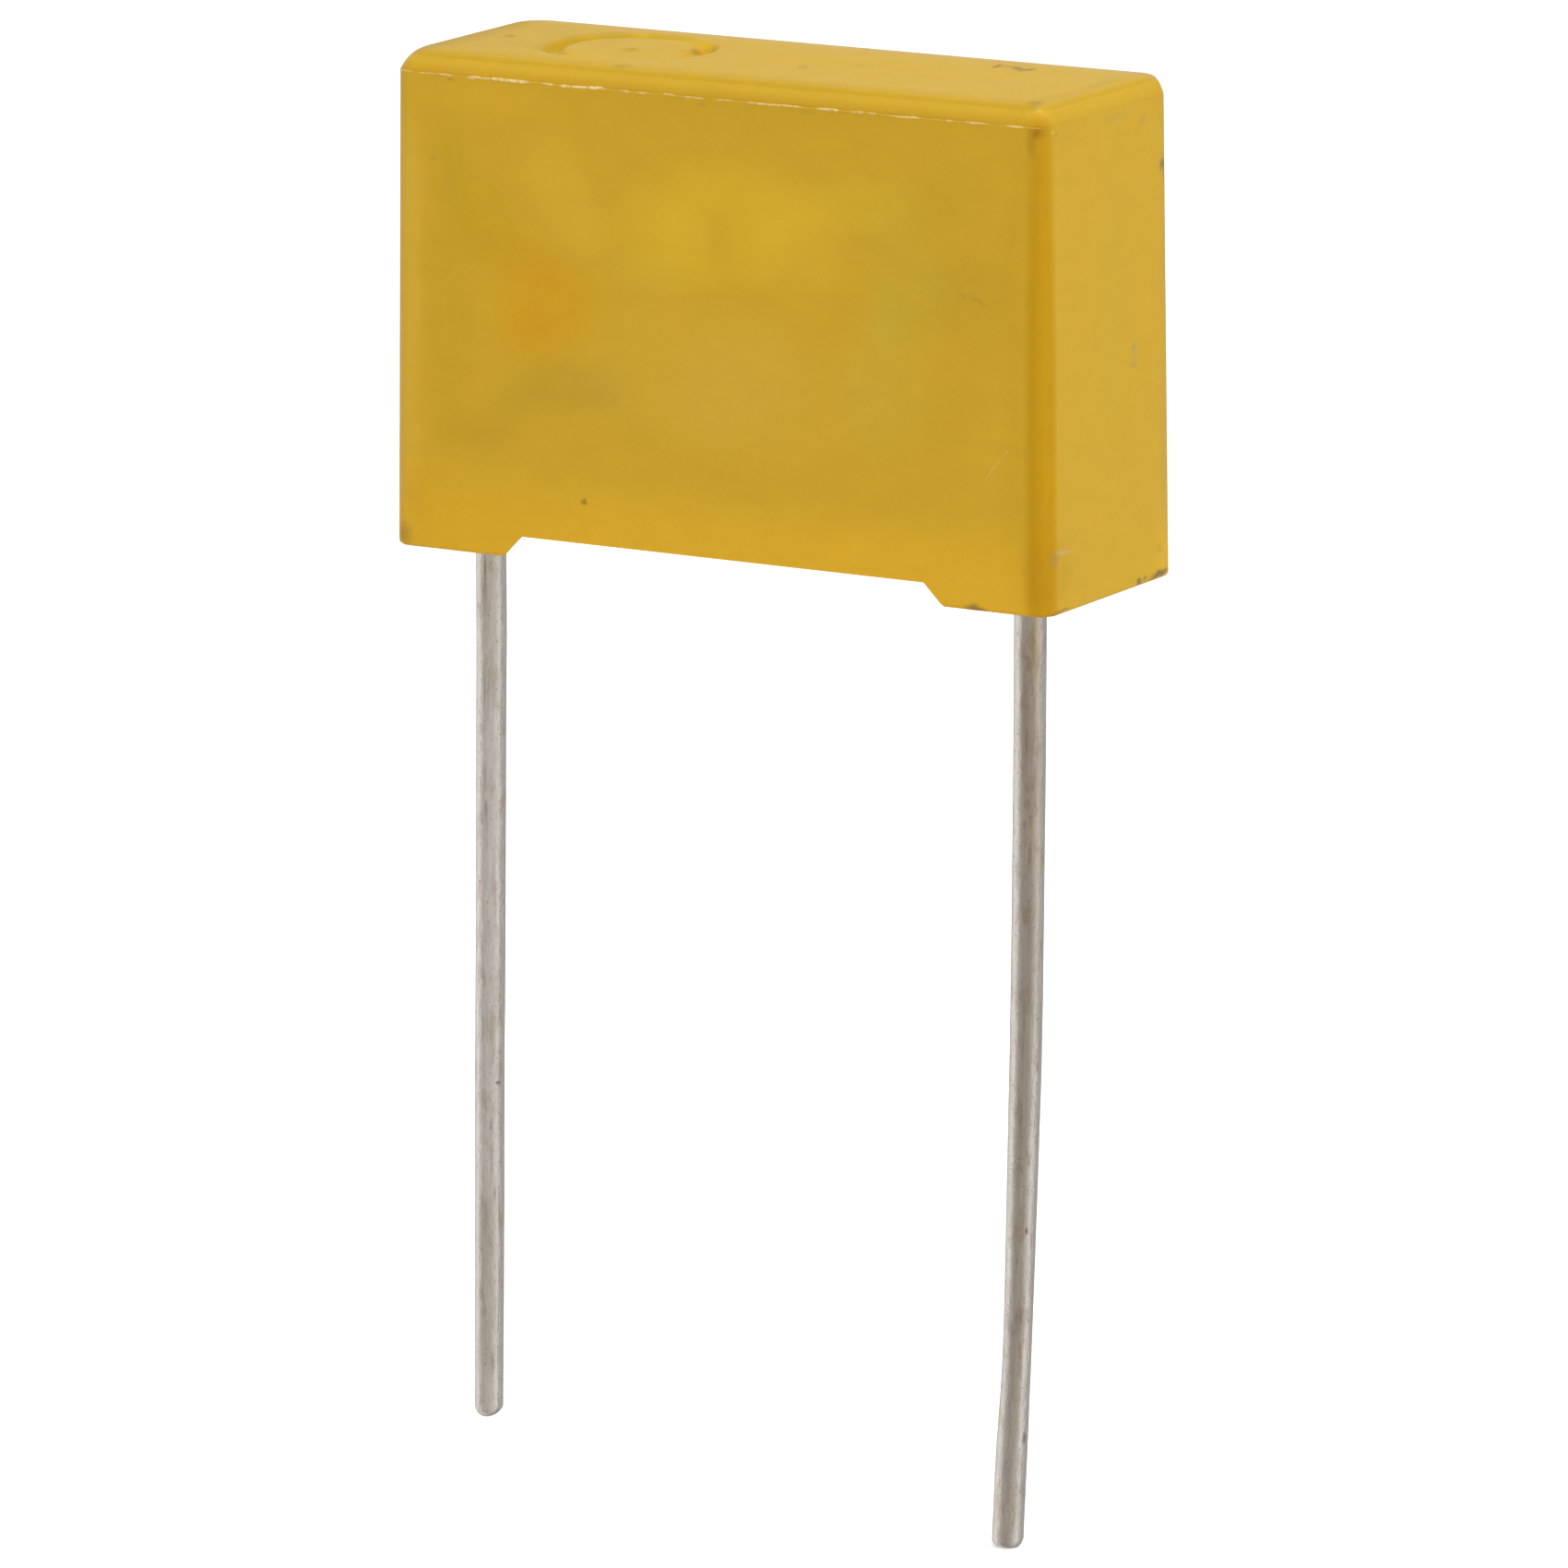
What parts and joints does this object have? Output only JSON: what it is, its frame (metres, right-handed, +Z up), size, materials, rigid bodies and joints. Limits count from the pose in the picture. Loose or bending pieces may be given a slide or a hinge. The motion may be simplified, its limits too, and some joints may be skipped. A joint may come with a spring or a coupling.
{
  "type": "polypropylene film capacitor",
  "caption": "Radial box film capacitor: a small yellow moulded case potted with resin, with end feet and two stiff tinned wire leads for a printed circuit board.",
  "frame": {"origin": "midway between the two leads on the seating plane, where the case's feet rest on the board", "axes": "+Z up through the case, away from the board and the leads; +X along the case's length, through both leads; the face nearer the leads looks towards -Y"},
  "size_m": [0.0182, 0.0062, 0.0355],
  "materials": {
    "case_plastic": "golden yellow moulded plastic, satin, slightly mottled and worn along its edges",
    "potting_resin": "yellow potting resin, smooth with a low gloss",
    "wound_film": "metallised film, silver grey",
    "sprayed_metal": "sprayed zinc, dull and granular",
    "tinned_wire": "tinned steel wire, dull silver with light handling marks"
  },
  "bodies": {
    "root": {"case": "case_plastic", "epoxy_fill": "potting_resin", "film_winding": "wound_film", "end_spray_left": "sprayed_metal", "end_spray_right": "sprayed_metal", "lead_left": "tinned_wire", "lead_right": "tinned_wire"}
  },
  "joints": []
}
